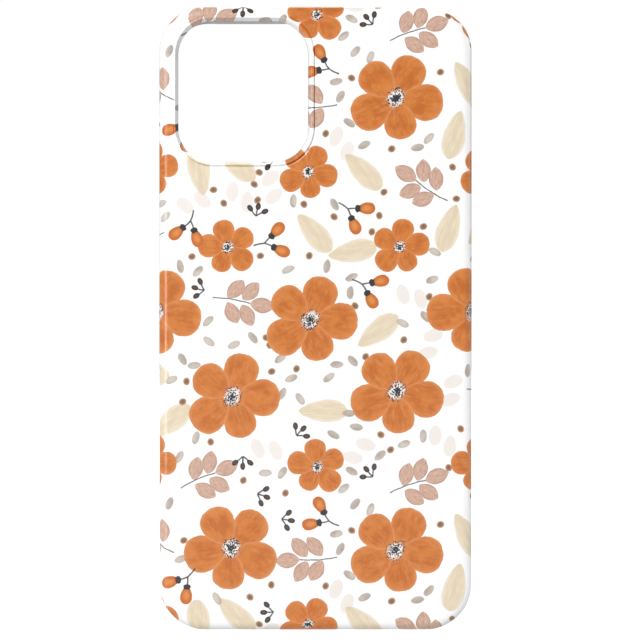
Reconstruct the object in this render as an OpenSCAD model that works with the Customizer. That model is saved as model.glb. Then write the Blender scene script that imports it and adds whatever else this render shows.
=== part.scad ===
// Two-layer protective case for a phone of the 6.7 inch class.
// A hard printed shell clips over a soft liner, and a thin lining pad is bonded inside.
// The case stands upright: its printed back faces -Y and the phone's top is towards +Z.
// The origin is the middle of the seat that the phone's back rests on.

/* [Phone] */
// Width of the phone that the case holds
phone_w = 78.1; // [77:0.1:79]
// Height of the phone
phone_h = 160.8; // [158:0.1:163]
// Thickness of the phone
phone_t = 7.4; // [7.2:0.1:8.2]
// Free space round the phone on each side
phone_gap = 0.15; // [0.1:0.05:0.3]
// Corner radius of the phone's space
space_corner = 9.8; // [9:0.1:11]

/* [Liner] */
// Thickness of the liner's side walls
liner_wall = 1.2; // [1.1:0.1:1.5]
// Thickness of the liner's back
liner_back = 0.9; // [0.8:0.1:1.2]
// How far the front lip reaches in over the phone's face
lip_reach = 1.0; // [0.8:0.1:1.4]
// How far the front lip stands above the phone's face
lip_rise = 1.3; // [1:0.1:1.8]
// Depth of the outer rim that covers the shell's front edge
rim_t = 1.7; // [1.4:0.1:2]
// How far the rim stays inside the shell's outer face
rim_inset = 0.2; // [0.1:0.05:0.4]

/* [Printed shell] */
// Thickness of the shell's side walls
shell_wall = 1.1; // [1:0.1:1.4]
// Thickness of the shell's back
shell_back = 1.2; // [1:0.1:1.6]
// Radius of the rounded edge round the back
back_round = 2.5; // [2:0.1:3]
// Free space between the shell and the liner
layer_gap = 0.1; // [0.1:0.05:0.2]

/* [Lining pad] */
// Width of the pad
pad_w = 74; // [70:0.5:75]
// Height of the pad
pad_h = 157; // [150:0.5:158]
// Thickness of the pad
pad_t = 0.4; // [0.3:0.1:0.6]
// Corner radius of the pad
pad_corner = 8; // [6:0.5:9]

/* [Camera opening] */
// Width of the opening
cam_w = 34.5; // [33:0.1:35]
// Height of the opening
cam_h = 37.3; // [36:0.1:38]
// Corner radius of the opening
cam_corner = 9; // [8:0.1:10]
// Sideways place of the opening's middle
cam_x = -19.2; // [-19.5:0.1:-18.5]
// Height of the opening's middle above the case's middle
cam_z = 60.2; // [59:0.1:60.5]
// Width of the raised lip round the opening
ring_w = 37.1; // [36.8:0.1:37.4]
// Height of the raised lip round the opening
ring_h = 40.2; // [39.8:0.1:40.4]
// Sideways place of the lip's middle
ring_x = -18.9; // [-19.1:0.1:-18.8]
// Height of the lip's middle above the case's middle
ring_z = 60.5; // [60.3:0.1:60.7]
// How far the lip stands proud of the back
ring_rise = 0.5; // [0.3:0.1:0.8]
// How much wider the opening is at the lip than at the liner, on each side
flare = 0.8; // [0.5:0.1:0.9]

/* [Buttons] */
// Height of the volume up button's middle
volume_up_z = 39; // [38:0.5:41]
// Height of the volume down button's middle
volume_down_z = 26; // [24:0.5:27]
// Length of a volume button
volume_len = 11; // [9:0.5:11]
// Height of the side button's middle
side_z = 33; // [30:0.5:36]
// Length of the side button
side_len = 18; // [15:0.5:19]
// Width of a button cap, from front to back of the case
cap_w = 3.2; // [2.8:0.1:3.6]
// How far a button travels inwards
travel = 0.4; // [0.3:0.05:0.45]

/* [Side and bottom windows] */
// Height of the silent switch window's middle
switch_z = 53.8; // [52:0.2:55]
// Length of the recess in the shell at the switch
switch_recess = 8; // [7.5:0.1:9]
// Length of the switch window in the liner
switch_len = 7; // [6.5:0.1:7.2]
// Width of the switch window, from front to back
switch_w = 4.8; // [4.6:0.1:5.2]
// Width of the charging port window
port_w = 13; // [12:0.5:14]
// Depth of the charging port window, from front to back
port_d = 5.6; // [5:0.1:6]
// Length of each speaker window
speaker_len = 14; // [12:0.5:16]
// Depth of each speaker window, from front to back
speaker_d = 3.4; // [2.5:0.1:3.8]
// Sideways place of each speaker window's middle
speaker_x = 22; // [20:0.5:22]
// Width of the notch in the shell that leaves the bottom windows free
bottom_notch_w = 61; // [60.5:0.5:62]

/* [Hidden] */
$fn = 96;

// Half sizes, from the phone's space outwards. Depths are counted from the seat towards the back.
space_x = phone_w / 2 + phone_gap;
space_z = phone_h / 2 + phone_gap;
liner_x = space_x + liner_wall;
liner_z = space_z + liner_wall;
liner_corner = space_corner + liner_wall;
inside_x = liner_x + layer_gap;
inside_z = liner_z + layer_gap;
inside_corner = liner_corner + layer_gap;
shell_x = inside_x + shell_wall;
shell_z = inside_z + shell_wall;
shell_corner = inside_corner + shell_wall;
rim_x = shell_x - rim_inset;
rim_z = shell_z - rim_inset;
rim_corner = shell_corner - rim_inset;
mouth_x = space_x - lip_reach;
mouth_z = space_z - lip_reach;
mouth_corner = space_corner - lip_reach;

liner_out = pad_t + liner_back;
shell_in = liner_out + layer_gap;
shell_out = shell_in + shell_back;
front = phone_t + lip_rise;
rim_back = front - rim_t;
shell_front = rim_back - layer_gap;
mid_depth = phone_t / 2;
liner_round = back_round - shell_wall - layer_gap;
shell_inner_round = back_round - shell_wall;

// A cut runs this far past the faces it leaves through.
over = 2;
// A cap stops this far inside the shell's outer face.
cap_inset = 0.1;
cap_gap = 0.25;
cap_edge = 0.35;
// The flange behind a cap slides in a pocket in the liner's inner face, and reaches that face when pressed.
pocket_skin = 0.3;
pocket_gap = 0.2;
flange_t = liner_wall - pocket_skin - layer_gap - travel;
flange_side = 0.7;
// The shell's bottom notch clears the port window by this much.
notch_margin = 0.4;
// A round end keeps this much flat in its middle.
end_flat = 0.1;
// The recess at the switch runs up into the rounded edge of the back.
recess_top = 1;
rim_edge = 0.8;
ring_corner = cam_corner + 1.2;
ring_edge = 0.25;
mouth_flare = 0.5;
liner_cam_gap = 0.4;
pad_cam_gap = 1.6;

// Turns a solid that lies with its back up into the upright case.
module upright() {
    rotate([90, 0, 0])
        children();
}

// Carries a profile round a rectangle with round corners and fills the middle.
// The profile runs from the corner's axis, x = 0, to the outer face, x = r, and from 0 to t high.
module carried_round(half_x, half_y, r, t) {
    flat_x = half_x - r;
    flat_y = half_y - r;
    for (q = [0 : 3])
        translate([(q == 0 || q == 3 ? 1 : -1) * flat_x, (q < 2 ? 1 : -1) * flat_y, 0])
            rotate([0, 0, 90 * q])
                rotate_extrude(angle = 90)
                    children();
    for (q = [0, 2])
        rotate([0, 0, 90 * q])
            translate([flat_x, 0, 0])
                rotate([90, 0, 0])
                    linear_extrude(2 * flat_y, center = true)
                        children();
    for (q = [1, 3])
        rotate([0, 0, 90 * q])
            translate([flat_y, 0, 0])
                rotate([90, 0, 0])
                    linear_extrude(2 * flat_x, center = true)
                        children();
    translate([-flat_x, -flat_y, 0])
        cube([2 * flat_x, 2 * flat_y, t]);
}

// A slab with round corners whose upper edge is rounded to the given radius.
module round_edge_slab(half_x, half_y, r, t, edge) {
    carried_round(half_x, half_y, r, t)
        union() {
            square([r - edge, t]);
            square([r, t - edge]);
            translate([r - edge, t - edge])
                circle(edge);
        }
}

// A slab with round corners that widens evenly from its bottom to its top.
module flared_slab(half_x, half_y, r, t, wider) {
    carried_round(half_x, half_y, r, t)
        polygon([[0, 0], [r, 0], [r + wider, t], [0, t]]);
}

// A flat outline with round corners.
module round_outline(half_x, half_y, r) {
    square([2 * half_x, 2 * (half_y - r)], center = true);
    square([2 * (half_x - r), 2 * half_y], center = true);
    for (sx = [-1, 1], sy = [-1, 1])
        translate([sx * (half_x - r), sy * (half_y - r)])
            circle(r);
}

// A plain slab with round corners.
module slab(half_x, half_y, r, t) {
    linear_extrude(t)
        round_outline(half_x, half_y, r);
}

// Places children on a side wall, with their Z axis pointing out of the case.
module on_side(side, height) {
    translate([0, height, -mid_depth])
        rotate([0, 90 * side, 0])
            children();
}

// Places children on the bottom wall, with their Z axis pointing down out of the case.
module on_bottom(x) {
    translate([x, 0, -mid_depth])
        rotate([90, 0, 0])
            children();
}

// A notch through the shell's side wall that is open to the shell's front edge.
module side_notch(side, height, len, top) {
    near = side > 0 ? space_x : -shell_x - over;
    translate([near, height - len / 2, -shell_front - over])
        cube([shell_x + over - space_x, len, shell_front + over + top]);
}

// One button cap with its flange. It is built pointing up, its middle at the origin.
module button(len) {
    cap_from = liner_x - pocket_skin - flange_t;
    translate([0, 0, cap_from])
        round_edge_slab(cap_w / 2, len / 2, cap_w / 2 - end_flat, shell_x - cap_inset - cap_from, cap_edge);
    translate([0, 0, cap_from - layer_gap])
        slab(cap_w / 2 + flange_side, len / 2 + flange_side, 1, flange_t);
}

// The room that one button needs in the liner: a pocket for the flange and a window for the cap.
module button_room(len) {
    pocket_to = liner_x - pocket_skin;
    reach = flange_side + pocket_gap;
    translate([0, 0, space_x - over])
        slab(cap_w / 2 + reach, len / 2 + reach, 1.2, pocket_to - space_x + over);
    slab(cap_w / 2 + cap_gap, len / 2 + cap_gap, cap_w / 2 + cap_gap - end_flat, shell_x);
}

// Hard outer shell that carries the print.
module printed_shell() {
    cap_top = cap_w / 2 + cap_gap - mid_depth;
    bottom_top = port_d / 2 + notch_margin - mid_depth;
    color("white")
        upright()
            difference() {
                union() {
                    translate([0, 0, -shell_front])
                        round_edge_slab(shell_x, shell_z, shell_corner, shell_front + shell_out, back_round);
                    translate([ring_x, ring_z, shell_in])
                        round_edge_slab(ring_w / 2, ring_h / 2, ring_corner, shell_back + ring_rise, ring_edge);
                }
                translate([0, 0, -shell_front - over])
                    round_edge_slab(inside_x, inside_z, inside_corner, shell_front + over + shell_in, shell_inner_round);
                translate([cam_x, cam_z, -over])
                    slab(cam_w / 2, cam_h / 2, cam_corner, shell_in + over + layer_gap);
                translate([cam_x, cam_z, shell_in])
                    flared_slab(cam_w / 2, cam_h / 2, cam_corner, shell_back + ring_rise, flare);
                side_notch(1, volume_up_z, volume_len + 2 * cap_gap, cap_top);
                side_notch(1, volume_down_z, volume_len + 2 * cap_gap, cap_top);
                side_notch(-1, side_z, side_len + 2 * cap_gap, cap_top);
                side_notch(1, switch_z, switch_recess, recess_top);
                translate([-bottom_notch_w / 2, -shell_z - over, -shell_front - over])
                    cube([bottom_notch_w, over + shell_z - space_z, bottom_top + shell_front + over]);
            }
}

// Soft inner tray: back, side walls, front lip and the rim that covers the shell's edge.
module liner() {
    color("whitesmoke")
        upright()
            difference() {
                union() {
                    translate([0, 0, -rim_back])
                        round_edge_slab(liner_x, liner_z, liner_corner, rim_back + liner_out, liner_round);
                    translate([0, 0, -rim_back])
                        mirror([0, 0, 1])
                            round_edge_slab(rim_x, rim_z, rim_corner, rim_t, rim_edge);
                }
                translate([0, 0, -phone_t])
                    slab(space_x, space_z, space_corner, phone_t + pad_t);
                mirror([0, 0, 1])
                    translate([0, 0, phone_t])
                        flared_slab(mouth_x, mouth_z, mouth_corner, lip_rise, mouth_flare);
                translate([cam_x, cam_z, -over])
                    slab(cam_w / 2 + liner_cam_gap, cam_h / 2 + liner_cam_gap, cam_corner + liner_cam_gap, 3 * over);
                on_side(1, volume_up_z)
                    button_room(volume_len);
                on_side(1, volume_down_z)
                    button_room(volume_len);
                on_side(-1, side_z)
                    button_room(side_len);
                on_side(1, switch_z)
                    slab(switch_w / 2, switch_len / 2, 1.5, shell_x + over);
                on_bottom(0)
                    slab(port_w / 2, port_d / 2, port_d / 2 - end_flat, shell_z + over);
                for (side = [-1, 1])
                    on_bottom(side * speaker_x)
                        slab(speaker_len / 2, speaker_d / 2, speaker_d / 2 - end_flat, shell_z + over);
            }
}

// Thin soft lining bonded to the inside of the liner's back.
module microfibre_pad() {
    color("gainsboro")
        upright()
            difference() {
                slab(pad_w / 2, pad_h / 2, pad_corner, pad_t);
                translate([cam_x, cam_z, -over])
                    slab(cam_w / 2 + pad_cam_gap, cam_h / 2 + pad_cam_gap, cam_corner + pad_cam_gap, 2 * over);
            }
}

module volume_up_button() {
    color("snow")
        upright()
            on_side(1, volume_up_z)
                button(volume_len);
}

module volume_down_button() {
    color("snow")
        upright()
            on_side(1, volume_down_z)
                button(volume_len);
}

module side_button() {
    color("snow")
        upright()
            on_side(-1, side_z)
                button(side_len);
}

printed_shell();
liner();
microfibre_pad();
volume_up_button();
volume_down_button();
side_button();
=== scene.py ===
import math

import bpy
import numpy as np
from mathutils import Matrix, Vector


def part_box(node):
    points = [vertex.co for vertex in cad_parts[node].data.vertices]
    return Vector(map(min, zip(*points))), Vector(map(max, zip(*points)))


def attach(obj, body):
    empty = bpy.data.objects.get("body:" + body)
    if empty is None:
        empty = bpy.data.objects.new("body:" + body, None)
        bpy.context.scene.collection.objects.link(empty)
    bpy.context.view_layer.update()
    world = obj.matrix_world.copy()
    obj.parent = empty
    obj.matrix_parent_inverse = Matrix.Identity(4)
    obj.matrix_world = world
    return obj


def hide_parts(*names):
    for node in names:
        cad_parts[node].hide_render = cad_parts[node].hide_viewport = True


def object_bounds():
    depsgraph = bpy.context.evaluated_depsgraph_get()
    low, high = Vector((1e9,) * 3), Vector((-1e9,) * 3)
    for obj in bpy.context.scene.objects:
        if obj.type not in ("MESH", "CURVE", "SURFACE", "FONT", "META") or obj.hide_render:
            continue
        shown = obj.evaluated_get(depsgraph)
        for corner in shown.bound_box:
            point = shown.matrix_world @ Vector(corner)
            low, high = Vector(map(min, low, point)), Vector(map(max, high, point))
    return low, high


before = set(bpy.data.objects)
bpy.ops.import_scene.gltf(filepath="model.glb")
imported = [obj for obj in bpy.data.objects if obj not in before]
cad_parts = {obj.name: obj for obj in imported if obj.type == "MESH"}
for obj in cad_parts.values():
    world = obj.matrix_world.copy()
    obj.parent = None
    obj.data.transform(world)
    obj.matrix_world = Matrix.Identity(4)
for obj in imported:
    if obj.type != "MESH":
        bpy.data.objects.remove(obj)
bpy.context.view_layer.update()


class Wire:
    """One value on its way through a material. Sums are written with the usual signs."""

    def __init__(self, tree, socket):
        self.tree, self.socket = tree, socket

    def add(self, kind, settings=None, output=0, **values):
        """Adds a node and returns one of its outputs.

        A value's name is the socket's name, or i and its number.
        """
        node = self.tree.nodes.new("ShaderNode" + kind)
        for key, setting in (settings or {}).items():
            setattr(node, key, setting)
        for key, value in values.items():
            number = key[1:] if key[0] == "i" and key[1:].isdigit() else None
            socket = node.inputs[int(number) if number else key.replace("_", " ")]
            if isinstance(value, Wire):
                self.tree.links.new(value.socket, socket)
            else:
                socket.default_value = value
        return Wire(self.tree, node.outputs[output])

    def calc(self, operation, *others):
        """One Math node: this value first, then the others."""
        values = {f"i{k + 1}": other for k, other in enumerate(others)}
        return self.add("Math", {"operation": operation}, i0=self, **values)

    def vector(self, operation, *others):
        """One Vector Math node: this value first, then the others."""
        values = {f"i{k + 1}": other for k, other in enumerate(others)}
        return self.add("VectorMath", {"operation": operation}, i0=self, **values)

    def __add__(self, other):
        return self.calc("ADD", other)

    def __sub__(self, other):
        return self.calc("SUBTRACT", other)

    def __mul__(self, other):
        return self.calc("MULTIPLY", other)

    def __truediv__(self, other):
        return self.calc("DIVIDE", other)

    def __gt__(self, other):
        return self.calc("GREATER_THAN", other)

    def __lt__(self, other):
        return self.calc("LESS_THAN", other)

    def __rsub__(self, other):
        return self * -1.0 + other

    __radd__ = __add__
    __rmul__ = __mul__

    def ramp(self, low, high):
        """0 below low, 1 above high, and a smooth rise between them (a fall when low is the larger)."""
        smooth = {"interpolation_type": "SMOOTHSTEP"}
        return self.add("MapRange", smooth, i0=self, i1=low, i2=high, i3=0.0, i4=1.0)

    def blend(self, first, second):
        """The first colour where this value is 0 and the second where it is 1."""
        pair = [c if isinstance(c, Wire) else (*c, 1.0) for c in (first, second)]
        return self.add("Mix", {"data_type": "RGBA"}, 2, i0=self, i6=pair[0], i7=pair[1])

    def choose(self, first, second):
        """The same for two vectors."""
        return self.add("Mix", {"data_type": "VECTOR"}, 1, i0=self, i4=first, i5=second)

    def part(self, axis):
        """X, Y or Z of a vector, numbered 0 to 2."""
        return self.add("SeparateXYZ", None, axis, i0=self)

    def noise(self, scale, detail=2.0):
        """Noise of about 0 to 1 at this place."""
        return self.add("TexNoise", Vector=self, Scale=scale, Detail=detail)


# ---- camera and studio
# A pale floor under the upright case, white all round, and soft light from the upper left front.
camera = bpy.data.objects.new("camera", bpy.data.cameras.new("camera"))
bpy.context.collection.objects.link(camera)
camera.data.lens, camera.data.sensor_width = 120.0, 36.0
camera.data.dof.use_dof = False
camera.data.clip_start = 0.01
camera.location = (0.0012, -0.5685, -0.0005)
camera.rotation_euler = (math.radians(90), 0, 0)
bpy.context.scene.camera = camera

world = bpy.data.worlds.new("studio")
bpy.context.scene.world = world
world.use_nodes = True
backdrop = world.node_tree.nodes["Background"]
backdrop.inputs["Color"].default_value = (1.0, 1.0, 1.0, 1.0)
light_from_world, extra_when_seen = 0.43, 0.59  # the backdrop looks brighter than the light it gives
seen = Wire(world.node_tree, None).add("LightPath")
world.node_tree.links.new((seen * extra_when_seen + light_from_world).socket, backdrop.inputs["Strength"])
bpy.context.scene.view_settings.view_transform = "Standard"

floor_mesh = bpy.data.meshes.new("floor")
floor_reach, floor_z = 3.0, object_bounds()[0].z
floor_mesh.from_pydata(
    [(x, y, floor_z) for x, y in ((-floor_reach, -floor_reach), (floor_reach, -floor_reach),
                                  (floor_reach, floor_reach), (-floor_reach, floor_reach))],
    [], [(0, 1, 2, 3)])
floor = bpy.data.objects.new("floor", floor_mesh)
bpy.context.collection.objects.link(floor)
paint = bpy.data.materials.new("floor_paint")
paint.use_nodes = True
coat = paint.node_tree.nodes["Principled BSDF"]
coat.inputs["Base Color"].default_value = (0.9, 0.9, 0.9, 1.0)
coat.inputs["Emission Color"].default_value = (1.0, 1.0, 1.0, 1.0)
coat.inputs["Emission Strength"].default_value = 0.78  # keeps it pale right back to the horizon
coat.inputs["Roughness"].default_value = 0.8
floor_mesh.materials.append(paint)
floor.visible_diffuse = False  # it doesn't light the case from below, so the lower edge keeps its line

for name, place, size, power in (
    ("key_light", (-0.7, -1.4, 0.85), 0.5, 17.3),
    ("low_light", (-0.8, -1.2, -0.03), 0.4, 8.0),
    ("side_light", (1.5, 0.1, 0.5), 0.8, 6.0),
    ("rear_light", (0.4, 1.5, 1.2), 1.2, 16.0),
):
    lamp = bpy.data.lights.new(name, "AREA")
    lamp.shape, lamp.size, lamp.energy = "DISK", size, power
    light = bpy.data.objects.new(name, lamp)
    bpy.context.collection.objects.link(light)
    light.location = place
    toward = -np.array(place) / np.linalg.norm(place)
    light.rotation_euler = (math.acos(-toward[2]), 0, math.atan2(toward[0], -toward[1]) + math.pi)


# ---- printed_shell
# The hard outer shell: white polycarbonate with a floral print that goes on round the edge and
# down the walls. It is open round the camera, and its front edge is notched at the buttons and
# windows. Its print is dyed into the surface, so the whole face has one satin gloss.
mm = 0.001
low, high = (np.array(corner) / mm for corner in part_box("printed_shell"))
outer_x, rim_y, outer_z = (round(float(size), 3) for size in high)
crest_y, outer_corner = round(float(low[1]), 3), 12.2
edge_round, inner_round, wall = 2.5, 1.4, 1.1
back_y, inner_y = crest_y + 0.5, crest_y + 1.7
notch_step = 0.02  # the columns at a notch's end stand this far inside and outside it
hole_centre, hole_half, hole_corner, hole_flare = (-19.2, 60.2), (17.25, 18.65), 9.0, 0.8
lip_centre, lip_half, lip_corner, lip_edge = (-18.9, 60.4), (18.55, 19.93), 10.2, 0.25
notches = (  # side, middle and length of each notch in the front edge, and the depth its floor is at
    ("right", 39.0, 11.5, 1.85), ("right", 26.0, 11.5, 1.85), ("left", 33.0, 18.5, 1.85),
    ("left", 53.8, 8.0, -1.0), ("bottom", 0.0, 61.0, 0.5))


def rounded_outline(count, half_x, half_z, corner):
    """Points spaced evenly round a rectangle with round corners, and the outward direction at each.

    The length along the outline runs over four sides and four quarter circles in turn.
    """
    side = [2 * (half_z - corner), 2 * (half_x - corner)] * 2
    arc = math.pi / 2 * corner
    starts = np.cumsum([0] + [length for s in side for length in (s, arc)])
    along = (np.arange(count) + 0.5) * starts[-1] / count
    piece = np.searchsorted(starts, along, side="right") - 1
    rest = along - starts[piece]
    turn = piece // 2 * math.pi / 2
    on_arc = piece % 2 == 1
    angle = turn + np.where(on_arc, rest / corner, 0.0)
    out_x, out_z = np.cos(angle), np.sin(angle)
    centre_x = np.array([1, -1, -1, 1])[piece // 2] * (half_x - corner)
    centre_z = np.array([1, 1, -1, -1])[piece // 2] * (half_z - corner)
    line_x = np.array([0, -1, 0, 1])[piece // 2]
    line_z = np.array([1, 0, -1, 0])[piece // 2]
    begin_x = np.array([half_x, half_x - corner, -half_x, -(half_x - corner)])[piece // 2]
    begin_z = np.array([-(half_z - corner), half_z, half_z - corner, -half_z])[piece // 2]
    x = np.where(on_arc, centre_x + corner * out_x, begin_x + line_x * rest)
    z = np.where(on_arc, centre_z + corner * out_z, begin_z + line_z * rest)
    return x, z, out_x, out_z


def reach_to(outline_centre, half, corner, from_x, from_z, dir_x, dir_z):
    """How far a ray runs before it meets a rounded rectangle, by halving the interval.

    Inside is where |(|p - c| - (half - corner))+| + min(max(|p - c| - (half - corner)), 0) < corner.
    """
    low, high = np.zeros_like(dir_x), np.full_like(dir_x, 60.0)
    for _ in range(40):
        middle = (low + high) / 2
        qx = np.abs(from_x + dir_x * middle - outline_centre[0]) - (half[0] - corner)
        qz = np.abs(from_z + dir_z * middle - outline_centre[1]) - (half[1] - corner)
        away = np.hypot(np.maximum(qx, 0), np.maximum(qz, 0)) + np.minimum(np.maximum(qx, qz), 0)
        low, high = np.where(away < corner, middle, low), np.where(away < corner, high, middle)
    return (low + high) / 2


def on_side(where, out_x, out_z):
    """Which columns face this side squarely: out . side > 0.98."""
    return {"right": out_x, "left": -out_x, "bottom": -out_z}[where] > 0.98


def notch_floor(x, z, out_x, out_z):
    """Depth of the wall's front edge at each column: rim_y, or a notch's floor where one is."""
    depth = np.full_like(x, rim_y)
    for where, middle, length, floor_y in notches:
        place = x if where == "bottom" else z
        in_notch = on_side(where, out_x, out_z) & (np.abs(place - middle) < length / 2)
        depth = np.where(in_notch, floor_y, depth)
    return depth


# Columns run from the camera opening outwards, along the back, round the edge and up the wall.
column_x, column_z, out_x, out_z = rounded_outline(540, outer_x, outer_z, outer_corner)
for where, middle, length, floor_y in notches:  # the columns nearest a notch's ends move onto them
    axis = column_x if where == "bottom" else column_z
    for end, inward in ((middle - length / 2, 1), (middle + length / 2, -1)):
        gap = np.where(on_side(where, out_x, out_z), inward * (axis - end), np.inf)
        inside = int(np.argmin(np.where(gap > 0, gap, np.inf)))
        outside = int(np.argmin(np.where(gap <= 0, -gap, np.inf)))
        axis[inside], axis[outside] = end + inward * notch_step, end - inward * notch_step
        if where == "bottom":  # these ends lie a little way round the corners
            for k in (inside, outside):
                past_corner = max(abs(axis[k]) - (outer_x - outer_corner), 0)
                out_x[k] = math.copysign(past_corner / outer_corner, axis[k])
                out_z[k] = -math.sqrt(1 - out_x[k] ** 2)
                column_z[k] = -(outer_z - outer_corner) + outer_corner * out_z[k]
wall_top = notch_floor(column_x, column_z, out_x, out_z)
flat_x, flat_z = column_x - edge_round * out_x, column_z - edge_round * out_z
span = np.hypot(flat_x - hole_centre[0], flat_z - hole_centre[1])
ray_x, ray_z = (flat_x - hole_centre[0]) / span, (flat_z - hole_centre[1]) / span
opening = reach_to(hole_centre, hole_half, hole_corner, *hole_centre, ray_x, ray_z)
wide_half = (hole_half[0] + hole_flare, hole_half[1] + hole_flare)
mouth = reach_to(hole_centre, wide_half, hole_corner + hole_flare, *hole_centre, ray_x, ray_z)
lip = reach_to(lip_centre, lip_half, lip_corner, *hole_centre, ray_x, ray_z)
bevel = np.minimum(lip_edge, 0.45 * (lip - mouth))
small = 0.3 * bevel

# Each row has the place of its points, their place in the print, and how much of the print shows.
grid, prints, printed = [], [], []


def row(x, y, z, print_x, print_z, shows):
    """One ring of points round the shell."""
    grid.append(np.stack([x, np.broadcast_to(y, x.shape), z], -1))
    prints.append(np.stack([print_x, print_z], -1))
    printed.append(np.full_like(x, shows))


def flat_row(distance, y, shows=1.0):
    """A ring at this distance from the opening's middle, with the print laid straight on."""
    x, z = hole_centre[0] + ray_x * distance, hole_centre[1] + ray_z * distance
    row(x, y, z, x, z, shows)


for t in np.linspace(0, 1, 6):  # the opening's sloping wall
    flat_row(opening + (mouth - opening) * t, inner_y + (crest_y + small * 0.5 - inner_y) * t)
flat_row(mouth + small, crest_y)
flat_row((mouth + lip - bevel) / 2, crest_y)
for t in np.linspace(0, math.pi / 2, 5):  # the lip's rounded outer edge
    flat_row(lip - bevel * (1 - math.sin(t)), crest_y + bevel * (1 - math.cos(t)))
groove = np.minimum(0.3, 0.25 * (span - lip))  # a fine groove runs round the lip's foot
for across, depth in ((0.02, 0.0), (0.15, 0.9), (0.6, 0.9)):
    flat_row(lip + groove * across, back_y + groove * depth)
for t in np.linspace(0, 1, 122):  # the flat back
    flat_row(lip + groove + (span - lip - groove) * t, back_y)
for t in np.linspace(0, math.pi / 2, 10)[1:]:  # the rounded edge
    x = flat_x + out_x * edge_round * math.sin(t)
    z = flat_z + out_z * edge_round * math.sin(t)
    unrolled = edge_round * t
    row(x, back_y + edge_round * (1 - math.cos(t)), z,
        flat_x + out_x * unrolled, flat_z + out_z * unrolled, 1.0)
curl, wall_foot = edge_round * math.pi / 2, back_y + edge_round
front_round, least_wall = 0.3, 0.02  # the wall keeps this much height where a notch goes below its foot
for t in np.linspace(0, 1, 10)[1:]:  # the outside of the wall
    y = wall_foot + (np.maximum(wall_top - front_round, wall_foot + least_wall) - wall_foot) * t
    reach = curl + (y - wall_foot)
    row(column_x, y, column_z, flat_x + out_x * reach, flat_z + out_z * reach, 1.0)
ledge = np.maximum(wall_top, wall_foot + least_wall + front_round)
for t in np.linspace(0, math.pi / 2, 4)[1:]:  # the front edge's two small rounds
    into = front_round * (1 - math.cos(t))
    row(column_x - out_x * into, ledge - front_round * (1 - math.sin(t)), column_z - out_z * into,
        flat_x + out_x * (curl + 7), flat_z + out_z * (curl + 7), 0.0)
for t in np.linspace(math.pi / 2, math.pi, 4):
    into = wall - front_round * (1 + math.cos(t))
    row(column_x - out_x * into, ledge - front_round * (1 - math.sin(t)), column_z - out_z * into,
        column_x, column_z, 0.0)
for t in np.linspace(0, 1, 4)[1:]:  # the inside of the wall
    top = ledge - front_round
    y = top + (np.minimum(inner_y + inner_round, top - least_wall) - top) * t
    row(column_x - out_x * wall, y, column_z - out_z * wall, column_x, column_z, 0.0)
for t in np.linspace(0, math.pi / 2, 6)[1:]:  # the inside round, and the inner face back to the opening
    into = wall + inner_round * (1 - math.cos(t))
    row(column_x - out_x * into, inner_y + inner_round * (1 - math.sin(t)), column_z - out_z * into,
        column_x, column_z, 0.0)
inner_edge_x, inner_edge_z = column_x - out_x * (wall + inner_round), column_z - out_z * (wall + inner_round)
hole_x, hole_z = hole_centre[0] + ray_x * opening, hole_centre[1] + ray_z * opening
for t in np.linspace(0, 1, 6)[1:-1]:
    row(inner_edge_x + (hole_x - inner_edge_x) * t, inner_y, inner_edge_z + (hole_z - inner_edge_z) * t,
        column_x, column_z, 0.0)

points, print_at, shown = np.stack(grid), np.stack(prints), np.stack(printed)
rows, columns = points.shape[:2]
this_row, this_column = np.meshgrid(np.arange(rows), np.arange(columns), indexing="ij")
next_row, next_column = (this_row + 1) % rows, (this_column + 1) % columns
faces = np.stack([this_row * columns + this_column, next_row * columns + this_column,
                  next_row * columns + next_column, this_row * columns + next_column], -1).reshape(-1, 4)
shell_mesh = bpy.data.meshes.new("printed_shell_skin")
shell_mesh.from_pydata((points.reshape(-1, 3) * mm).tolist(), [], faces.tolist())
shell_mesh.polygons.foreach_set("use_smooth", np.ones(len(faces), bool))
shell_mesh.update()
printed_shell = bpy.data.objects.new("printed_shell_skin", shell_mesh)
bpy.context.collection.objects.link(printed_shell)
flat_print = print_at.reshape(-1, 2)
shows = shell_mesh.attributes.new("print_shows", "FLOAT", "POINT")
shows.data.foreach_set("value", shown.reshape(-1).astype(np.float32))
corners = np.empty(len(shell_mesh.loops), np.int32)
shell_mesh.loops.foreach_get("vertex_index", corners)
print_map = shell_mesh.uv_layers.new(name="print_map")  # the place in the print, in tenths of a metre
print_map.data.foreach_set("uv", (flat_print[corners] * 0.01).astype(np.float32).ravel())


# ---- the print's motifs
# Loose watercolour flowers in a half-drop lattice, with sprigs, leaves, buds, berries, flecks and
# dots strewn into the free places by a seeded draw. Places are (x, z) in mm, seen from behind, and
# the pattern repeats up the case.
repeat = 120.0
margin = 1.7  # wider than the mesh's largest cell on the back
fields = {}  # kind of motif: names of the point attributes that hold its motifs' own coordinates


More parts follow.
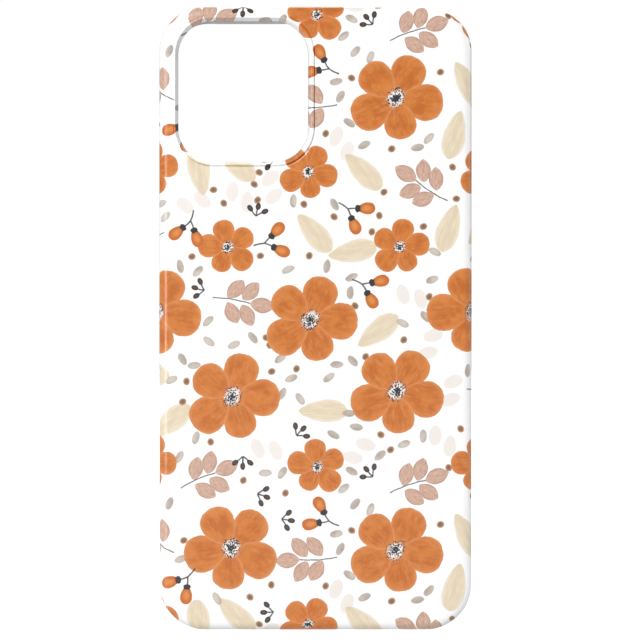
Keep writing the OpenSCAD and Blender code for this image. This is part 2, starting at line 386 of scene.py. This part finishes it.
def lay(kind, motifs, shape):
    """Writes each motif's own coordinates to points near it, on as few attributes as keep motifs apart.

    shape gives (first, second, distance outside) for every point; the third figure stored is 1
    where the coordinates hold, and 0 elsewhere. Later motifs lie on top of earlier ones.
    """
    layers = []
    for motif in motifs:
        for shift in (-repeat, 0.0, repeat):
            first, second, beyond = shape(flat_print[:, 0], flat_print[:, 1] - shift, *motif)
            on_face = shown.reshape(-1) > 0.5
            near, around = (np.flatnonzero((beyond < width) & on_face) for width in (margin, 2 * margin))
            if not len(near):
                continue
            free = [k for k, layer in enumerate(layers) if not layer[around, 2].any()]
            if not free:
                layers.append(np.zeros((len(flat_print), 3), np.float32))
                free = [len(layers) - 1]
            layers[free[0]][near] = np.column_stack([first[near], second[near], np.ones(len(near))])
    fields[kind] = []
    for number, layer in enumerate(layers):
        name = f"{kind}_{number}"
        stored_layer = shell_mesh.attributes.new(name, "FLOAT_VECTOR", "POINT")
        stored_layer.data.foreach_set("vector", layer.ravel())
        fields[kind].append(name)


def leaf_shape(x, z, foot_x, foot_z, tip_x, tip_z, half_width):
    """Along and across a leaf from foot to tip: both run from -1 to 1."""
    long_x, long_z = tip_x - foot_x, tip_z - foot_z
    half = math.hypot(long_x, long_z) / 2
    away_x, away_z = x - (foot_x + tip_x) / 2, z - (foot_z + tip_z) / 2
    along = (away_x * long_x + away_z * long_z) / (2 * half)
    across = (away_z * long_x - away_x * long_z) / (2 * half)
    beyond = np.hypot(np.maximum(np.abs(along) - half, 0), np.maximum(np.abs(across) - half_width * 1.25, 0))
    return along / half, across / half_width, beyond


def oval_shape(x, z, middle_x, middle_z, half_length, half_width, bearing):
    """Along and across an oval whose long way points at this bearing, in degrees clockwise from up."""
    turn = math.radians(bearing)
    away_x, away_z = x - middle_x, z - middle_z
    along = away_x * math.sin(turn) + away_z * math.cos(turn)
    across = away_x * math.cos(turn) - away_z * math.sin(turn)
    beyond = np.hypot(along, across) - max(half_length, half_width) * 1.2
    return along / half_length, across / half_width, beyond


def petal_shape(x, z, middle_x, middle_z, count, bearing, reach):
    """A petal is a leaf from 0.12 of its reach out to its reach, and reach (0.22 + 0.8 / count) each side."""
    turn = math.radians(bearing)
    foot, tip = 0.12 * reach, reach
    ends = [middle + distance * step for distance in (foot, tip)
            for middle, step in ((middle_x, math.sin(turn)), (middle_z, math.cos(turn)))]
    return leaf_shape(x, z, *ends, reach * (0.22 + 0.8 / count))


def stem_shape(x, z, *ends):
    """Along and beside a stem that runs from the first point to the last, bowed towards the middle one.

    The nearest of 60 places on the curve (1-t)^2 a + 2t(1-t) b + t^2 c is found for every point,
    and moved on by the part of the step that lies along the curve.
    """
    if len(ends) == 4:
        bow = 0.08  # a stem with no middle point given bows to its left by this share of its length
        middle = ((ends[0] + ends[2]) / 2 - (ends[3] - ends[1]) * bow,
                  (ends[1] + ends[3]) / 2 + (ends[2] - ends[0]) * bow)
        ends = (*ends[:2], *middle, *ends[2:])
    t = np.linspace(0, 1, 60)[:, None]
    a, b, c = (np.array(ends[k:k + 2]) for k in (0, 2, 4))
    curve = (1 - t) ** 2 * a + 2 * t * (1 - t) * b + t ** 2 * c
    slope = 2 * (1 - t) * (b - a) + 2 * t * (c - b)
    slope /= np.linalg.norm(slope, axis=1)[:, None]
    length = np.concatenate([[0], np.cumsum(np.linalg.norm(np.diff(curve, axis=0), axis=1))])
    low, high = curve.min(0) - 3, curve.max(0) + 3
    close = np.flatnonzero((x > low[0]) & (x < high[0]) & (z > low[1]) & (z < high[1]))
    first, second, beyond = np.zeros_like(x), np.zeros_like(x), np.full_like(x, 99.0)
    if len(close):
        away = np.stack([x[close], z[close]], -1)[:, None, :] - curve[None]
        best = np.argmin((away ** 2).sum(-1), axis=1)
        step = away[np.arange(len(close)), best]
        ahead = (step * slope[best]).sum(-1)
        first[close] = (length[best] + ahead) / length[-1]
        second[close] = step[:, 1] * slope[best, 0] - step[:, 0] * slope[best, 1]
        beyond[close] = np.linalg.norm(step, axis=1)
    return first, second, beyond


draw = np.random.default_rng(8)
print_reach = 50.0  # the print runs this far from the middle, over the edge and down the walls
taken = []  # middle and radius of each circle that a motif fills


def at_bearing(x, z, bearing, distance):
    """The point this far from (x, z), at a bearing in degrees clockwise from up."""
    return x + distance * math.sin(math.radians(bearing)), z + distance * math.cos(math.radians(bearing))


def strew(count, radius):
    """Up to this many places and bearings, drawn at random, whose circles meet none that is taken."""
    found = []
    for _ in range(3000):
        x, z = draw.uniform(-print_reach, print_reach), draw.uniform(-repeat / 2, repeat / 2)
        gaps = [math.hypot(x - a, (z - b + repeat / 2) % repeat - repeat / 2) - r for a, b, r in taken]
        if len(found) < count and min(gaps) > radius:
            found.append((x, z, draw.uniform(0, 360)))
            taken.append((x, z, radius))
    return found


flowers = []  # middle, reach and bearing of the first of five petals
for column in range(-2, 3):
    for step in range(3):
        reach = 12.0 if (column + step) % 2 else 7.5
        x = column * 22.0 + draw.uniform(-2, 2)
        z = (step - 1) * repeat / 3 + (column % 2) * repeat / 6 + draw.uniform(-2, 2)
        flowers.append((x, z, reach, draw.uniform(0, 72)))
        taken.append((x, z, reach * 0.92))
lay("petal", [(x, z, 5, first + 72 * k, reach * (1 + 0.08 * math.sin(2.4 * k)))
              for x, z, reach, first in flowers for k in range(5)], petal_shape)
lay("centre", [(x, z, 0.27 * reach, 0.22 * reach, 35) for x, z, reach, _ in flowers], oval_shape)

stems, pink = [], []
for x, z, bearing in strew(8, 7.5):  # a sprig: a stem, a leaf at its tip and two pairs below
    tip = at_bearing(x, z, bearing, 2.0)
    stems.append((*at_bearing(x, z, bearing + 180, 8.0), *tip))
    pink.append((*tip, *at_bearing(*tip, bearing, 6.5), 2.1))
    for distance in (-4.5, -0.5):
        joint = at_bearing(x, z, bearing, distance)
        for side in (-55, 55):
            foot, end = (at_bearing(*joint, bearing + side, reach) for reach in (0.8, 7.0))
            pink.append((*foot, *end, 2.0))
lay("pink", pink, leaf_shape)
lay("beige", [(*at_bearing(x, z, bearing + 180, 6.5), *at_bearing(x, z, bearing, 6.5), 3.1)
              for x, z, bearing in strew(14, 5.0)], leaf_shape)

buds, stalks, berries = [], [], []
for x, z, bearing in strew(7, 4.2):  # two buds on one forked stalk
    fork = at_bearing(x, z, bearing + 180, 3.0)
    for side in (-35, 35):
        foot = at_bearing(*fork, bearing + side, 2.6)
        buds.append((*at_bearing(*foot, bearing + side, 2.3), *foot, 2.4, 1.8))
        stalks.append((*fork, *foot))
    stalks.append((*at_bearing(*fork, bearing + 180, 3.0), *fork))
for x, z, bearing in strew(9, 2.8):  # three berries on short stalks
    for side in (-50, 0, 50):
        end = at_bearing(x, z, bearing + side, 2.6)
        stalks.append((x, z, *end))
        berries.append((*end, 1.0, 0.7, bearing + side))
lay("ghost", [(*at_bearing(x, z, bearing, along), 2.8, 1.7, bearing + 60)
              for x, z, bearing in strew(10, 3.4) for along in (-2.4, 2.4)], oval_shape)
lay("fleck", [(x, z, 1.9, 1.0, bearing) for x, z, bearing in strew(60, 1.7)], oval_shape)
lay("dot", [(x, z, 1.1, 0.95, bearing) for x, z, bearing in strew(45, 1.1)], oval_shape)
lay("bud", [(x, z, length, width * 0.88, math.degrees(math.atan2(x - foot_x, z - foot_z)))
            for x, z, foot_x, foot_z, length, width in buds], oval_shape)
lay("stem", stems, stem_shape)
lay("stalk", stalks, stem_shape)
lay("calyx", [(foot_x, foot_z, 0.75, 1.05, math.degrees(math.atan2(x - foot_x, z - foot_z)))
              for x, z, foot_x, foot_z, *_ in buds], oval_shape)
lay("berry", berries, oval_shape)

skin = bpy.data.materials.new("printed_polycarbonate")
skin.use_nodes = True
tree = skin.node_tree
surface = tree.nodes["Principled BSDF"]
start = Wire(tree, None)


def stored(name):
    """A point attribute of the mesh."""
    return start.add("Attribute", {"attribute_name": name}, 1)


print_place = start.add("UVMap", {"uv_map": "print_map"})
print_elsewhere = print_place.add("Mapping", None, 0, i0=print_place, i1=(5.0, 2.0, 0.9))
wobble = start.add("CombineXYZ", i0=print_place.noise(55.0, 3.0) - 0.5,
                   i1=print_elsewhere.noise(55.0, 3.0) - 0.5)
tone = print_place.noise(16.0, 2.0)
patch = print_place.noise(30.0, 3.0)
grain = print_place.noise(240.0, 4.0)


def top_motif(kind, outline, sway):
    """The uppermost motif of one kind at each place: along, across, and how near its edge (1 is on it).

    outline turns along and across into that last figure; sway moves the edge like a brush does.
    """
    best = None
    for name in fields[kind]:
        swayed = wobble.vector("MULTIPLY_ADD", (sway, sway, 0.0), stored(name))
        along, across = swayed.part(0), swayed.part(1)
        edge = outline(along, across)
        inside = (swayed.part(2) > 0.999) * (edge < 1.0)
        here = start.add("CombineXYZ", i0=along, i1=across, i2=edge)
        best = inside.choose((0.0, 0.0, 9.0), here) if best is None else inside.choose(best, here)
    return best.part(0), best.part(1), best.part(2)


def oval_edge(along, across):
    """Square root of along^2 + across^2."""
    return (along * along + across * across).calc("SQRT")


def petal_edge(along, across):
    """An oval that is a fifth wider towards its tip."""
    wide = across / (along * 0.22 + 1.0)
    return (along * along + wide * wide).calc("SQRT")


def leaf_edge(along, across):
    """Distance across, over the leaf's half width (1 - along^2)^0.8 there."""
    open_part = (1.0 - along * along).calc("MAXIMUM", 0.0001)
    return across.calc("ABSOLUTE") / open_part.calc("POWER", 0.8)


def brush_edge(along, across):
    """A brush stroke: half width (1 - along^2)^0.55 (1 - 0.3 along), blunt and narrower to its tip."""
    open_part = (1.0 - along * along).calc("MAXIMUM", 0.0001)
    return across.calc("ABSOLUTE") / (open_part.calc("POWER", 0.55) * (1.0 - along * 0.3))


white = (0.95, 0.95, 0.95)
colour = start.add("RGB", None, 0)
colour.socket.default_value = (*white, 1.0)

along, across, edge = top_motif("ghost", oval_edge, 0.25)
colour = (edge.ramp(1.0, 0.9) * (0.7 + tone * 0.5).calc("MINIMUM", 1.0)).blend(colour, (0.85, 0.79, 0.74))

along, across, edge = top_motif("beige", brush_edge, 0.16)
streak = start.add("CombineXYZ", i0=along * 0.9, i1=across * 4.0, i2=tone * 2.0).noise(1.5, 3.0)
beige = streak.ramp(0.35, 0.7).blend((0.69, 0.56, 0.37), (0.8, 0.7, 0.53))
beige = (edge.ramp(0.62, 0.8) * 0.6).blend(beige, (0.84, 0.75, 0.6))
colour = (edge.ramp(1.0, 0.86) * (0.74 + streak * 0.4).calc("MINIMUM", 1.0)).blend(colour, beige)

along, across, edge = top_motif("fleck", oval_edge, 0.3)
fleck = tone.ramp(0.42, 0.58).blend((0.34, 0.265, 0.2), (0.55, 0.47, 0.4))
fleck = (across.ramp(-1.0, 1.0) * 0.35).blend(fleck, (0.72, 0.67, 0.62))
fleck = (edge.ramp(0.4, 0.85) * 0.4).blend(fleck, (0.36, 0.31, 0.25))
colour = (edge.ramp(1.0, 0.84) * (0.75 + grain * 0.3).calc("MINIMUM", 1.0)).blend(colour, fleck)

along, across, edge = top_motif("dot", oval_edge, 0.25)
dot = (edge + (grain - 0.5) * 0.5).ramp(0.85, 0.3).blend((0.42, 0.2, 0.04), (0.12, 0.03, 0.0))
colour = (edge.ramp(1.0, 0.82) * 0.92).blend(colour, dot)

along, across, edge = top_motif("pink", leaf_edge, 0.14)
streak = start.add("CombineXYZ", i0=along * 1.6, i1=across * 6.0, i2=tone * 3.0).noise(1.3, 3.0)
pink = streak.ramp(0.3, 0.72).blend((0.5, 0.3, 0.22), (0.68, 0.46, 0.36))
pink = (edge.ramp(0.7, 0.97) * 0.75).blend(pink, (0.39, 0.215, 0.145))
colour = edge.ramp(1.0, 0.95).blend(colour, pink)

along, across, edge = top_motif("petal", petal_edge, 0.1)
vein = start.add("CombineXYZ", i0=along * 0.8, i1=across * 3.2, i2=tone * 4.0).noise(1.3, 3.0)
orange = patch.ramp(0.38, 0.66).blend((0.5, 0.122, 0.007), (0.6, 0.182, 0.022))
orange = (vein.ramp(0.42, 0.7) * 0.6).blend(orange, (0.68, 0.235, 0.06))
orange = (edge.ramp(0.55, 0.95) * 0.45).blend(orange, (0.65, 0.22, 0.05))
orange = (edge.ramp(0.84, 1.0) * (patch * 0.75)).blend(orange, (0.74, 0.33, 0.13))
colour = (edge < 1.0).blend(colour, orange)

for kind, half, ink in (("stem", 0.14, (0.035, 0.03, 0.028)), ("stalk", 0.19, (0.012, 0.01, 0.012))):
    for name in fields[kind]:
        swayed = wobble.vector("MULTIPLY_ADD", (0.0, 0.4, 0.0), stored(name))
        along, beside = swayed.part(0), swayed.part(1).calc("ABSOLUTE")
        on_stem = (swayed.part(2) > 0.999) * (along > 0.0) * (along < 1.0)
        on_line = on_stem * beside.ramp(half + 0.06, half - 0.04)
        colour = (on_line * 0.92).blend(colour, ink)

along, across, edge = top_motif("centre", oval_edge, 0.45)
specks = start.add("TexVoronoi", {"feature": "F1"}, 0, Vector=print_place, Scale=230.0)
specks = (specks + grain * 0.3).ramp(0.64, 0.54)
colour = ((edge + (patch - 0.5) * 0.8).ramp(0.95, 0.45) * 0.9).blend(colour, (0.9, 0.84, 0.79))
colour = (specks * (edge + (grain - 0.5) * 0.6).ramp(0.98, 0.88)).blend(colour, (0.008, 0.01, 0.02))
colour = (edge + (grain - 0.5) * 1.8).ramp(0.42, 0.3).blend(colour, (0.008, 0.01, 0.02))

along, across, edge = top_motif("bud", petal_edge, 0.12)
bud = (edge + (grain - 0.5) * 0.8).ramp(0.2, 0.75).blend((0.68, 0.25, 0.06), (0.54, 0.135, 0.01))
bud = along.ramp(-0.6, -0.7).blend(bud, (0.012, 0.012, 0.016))
colour = edge.ramp(1.0, 0.96).blend(colour, bud)

along, across, edge = top_motif("calyx", oval_edge, 0.5)
colour = edge.ramp(1.0, 0.9).blend(colour, (0.012, 0.012, 0.016))

along, across, edge = top_motif("berry", oval_edge, 0.2)
berry = edge.ramp(0.2, 0.9).blend((0.075, 0.04, 0.028), (0.02, 0.01, 0.008))
colour = edge.ramp(1.0, 0.93).blend(colour, berry)

colour = start.add("Attribute", {"attribute_name": "print_shows"}, 2).ramp(0.4, 0.6).blend(white, colour)
place_of = start.add("TexCoord", None, 3)
ripple = place_of.noise(900.0, 2.0)
tree.links.new(colour.socket, surface.inputs["Base Color"])
tree.links.new((0.3 + ripple * 0.08).socket, surface.inputs["Roughness"])
surface.inputs["IOR"].default_value = 1.5
surface.inputs["Coat Weight"].default_value = 0.1
surface.inputs["Coat Roughness"].default_value = 0.12
shell_mesh.materials.append(skin)
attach(printed_shell, "outer_shell")
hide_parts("printed_shell")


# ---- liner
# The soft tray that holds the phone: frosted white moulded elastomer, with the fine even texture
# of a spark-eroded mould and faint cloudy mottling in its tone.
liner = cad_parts["liner"]
rubber = bpy.data.materials.new("frosted_elastomer")
rubber.use_nodes = True
tree = rubber.node_tree
surface = tree.nodes["Principled BSDF"]
start = Wire(tree, None)
spot = start.add("TexCoord", None, 3)
texture = spot.noise(5200.0, 3.0)
cloud = spot.noise(60.0, 3.0)
colour = cloud.ramp(0.3, 0.7).blend((0.80, 0.80, 0.79), (0.84, 0.84, 0.835))
tree.links.new(colour.socket, surface.inputs["Base Color"])
tree.links.new((0.52 + texture * 0.16).socket, surface.inputs["Roughness"])
bump = start.add("Bump", None, 0, Strength=0.25, Distance=0.00004, Height=texture)
tree.links.new(bump.socket, surface.inputs["Normal"])
surface.inputs["Subsurface Weight"].default_value = 0.12
surface.inputs["Subsurface Radius"].default_value = (1.0, 0.95, 0.9)
surface.inputs["Subsurface Scale"].default_value = 0.0012
surface.inputs["IOR"].default_value = 1.5
liner.data.materials.clear()
liner.data.materials.append(rubber)


# ---- microfibre_pad
# A thin pale grey cloth lining stuck to the inside of the tray's back, cut round the camera. Its
# short pile gives soft mottling and a sheen at a low angle; its cut edge is slightly rolled down.
low, high = (np.array(corner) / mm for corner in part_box("microfibre_pad"))
pad_half, pad_corner = (round(float(high[0]), 3), round(float(high[2]), 3)), 8.0
pad_hole_half, pad_hole_corner = (18.85, 20.25), 10.6
lower_y, upper_y, roll = round(float(low[1]), 3), round(float(high[1]), 3), 0.16
pad_x, pad_z, pad_out_x, pad_out_z = rounded_outline(420, *pad_half, pad_corner)
pad_span = np.hypot(pad_x - hole_centre[0], pad_z - hole_centre[1])
pad_ray_x, pad_ray_z = (pad_x - hole_centre[0]) / pad_span, (pad_z - hole_centre[1]) / pad_span
pad_hole = reach_to(hole_centre, pad_hole_half, pad_hole_corner, *hole_centre, pad_ray_x, pad_ray_z)
pad_rows = []
for distance, y in (
    *[(pad_span - roll * (1 - math.sin(t)), upper_y - roll * (1 - math.cos(t)))
      for t in np.linspace(math.pi / 2, 0, 5)],
    *[(pad_span - roll + (pad_hole - pad_span + 2 * roll) * t, upper_y) for t in np.linspace(0, 1, 60)[1:-1]],
    *[(pad_hole + roll * (1 - math.sin(t)), upper_y - roll * (1 - math.cos(t)))
      for t in np.linspace(0, math.pi / 2, 5)],
    *[(pad_hole + (pad_span - pad_hole) * t, lower_y) for t in np.linspace(0, 1, 12)],
):
    pad_rows.append(np.stack([hole_centre[0] + pad_ray_x * distance, np.broadcast_to(y, distance.shape),
                              hole_centre[1] + pad_ray_z * distance], -1))
pad_points = np.stack(pad_rows)
rows, columns = pad_points.shape[:2]
this_row, this_column = np.meshgrid(np.arange(rows), np.arange(columns), indexing="ij")
next_row, next_column = (this_row + 1) % rows, (this_column + 1) % columns
faces = np.stack([this_row * columns + this_column, next_row * columns + this_column,
                  next_row * columns + next_column, this_row * columns + next_column], -1).reshape(-1, 4)
pad_mesh = bpy.data.meshes.new("lining_cloth")
pad_mesh.from_pydata((pad_points.reshape(-1, 3) * mm).tolist(), [], faces.tolist())
pad_mesh.polygons.foreach_set("use_smooth", np.ones(len(faces), bool))
pad_mesh.update()
pad = bpy.data.objects.new("lining_cloth", pad_mesh)
bpy.context.collection.objects.link(pad)
cloth = bpy.data.materials.new("microfibre")
cloth.use_nodes = True
tree = cloth.node_tree
surface = tree.nodes["Principled BSDF"]
start = Wire(tree, None)
spot = start.add("TexCoord", None, 3)
pile = spot.vector("MULTIPLY", (1.0, 1.0, 0.55)).noise(3800.0, 4.0)
nap = spot.noise(70.0, 4.0)
grey = nap.ramp(0.3, 0.7).blend((0.585, 0.58, 0.575), (0.63, 0.625, 0.62))
grey = (pile.ramp(0.35, 0.75) * 0.35).blend(grey, (0.78, 0.775, 0.77))
tree.links.new(grey.socket, surface.inputs["Base Color"])
bump = start.add("Bump", None, 0, Strength=0.6, Distance=0.0001, Height=pile)
tree.links.new(bump.socket, surface.inputs["Normal"])
surface.inputs["Roughness"].default_value = 0.92
surface.inputs["Sheen Weight"].default_value = 0.35
surface.inputs["Sheen Roughness"].default_value = 0.4
pad_mesh.materials.append(cloth)
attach(pad, "liner_tray")
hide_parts("microfibre_pad")
corner_loss = (4 - math.pi) * (pad_corner ** 2 - pad_hole_corner ** 2)
pad_area = 4 * (pad_half[0] * pad_half[1] - pad_hole_half[0] * pad_hole_half[1]) - corner_loss
pad_area * mm * mm


# ---- volume and side buttons
# Three caps of white satin plastic in the shell's notches. Fine moulding texture keeps them from
# looking polished.
caps = bpy.data.materials.new("cap_plastic")
caps.use_nodes = True
tree = caps.node_tree
surface = tree.nodes["Principled BSDF"]
start = Wire(tree, None)
spot = start.add("TexCoord", None, 3)
texture = spot.noise(3600.0, 3.0)
colour = spot.noise(90.0).ramp(0.3, 0.7).blend((0.84, 0.84, 0.84), (0.87, 0.87, 0.87))
tree.links.new(colour.socket, surface.inputs["Base Color"])
tree.links.new((0.36 + texture * 0.14).socket, surface.inputs["Roughness"])
bump = start.add("Bump", None, 0, Strength=0.2, Distance=0.00003, Height=texture)
tree.links.new(bump.socket, surface.inputs["Normal"])
for name in ("volume_up_button", "volume_down_button", "side_button"):
    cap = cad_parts[name]
    cap.data.materials.clear()
    cap.data.materials.append(caps)
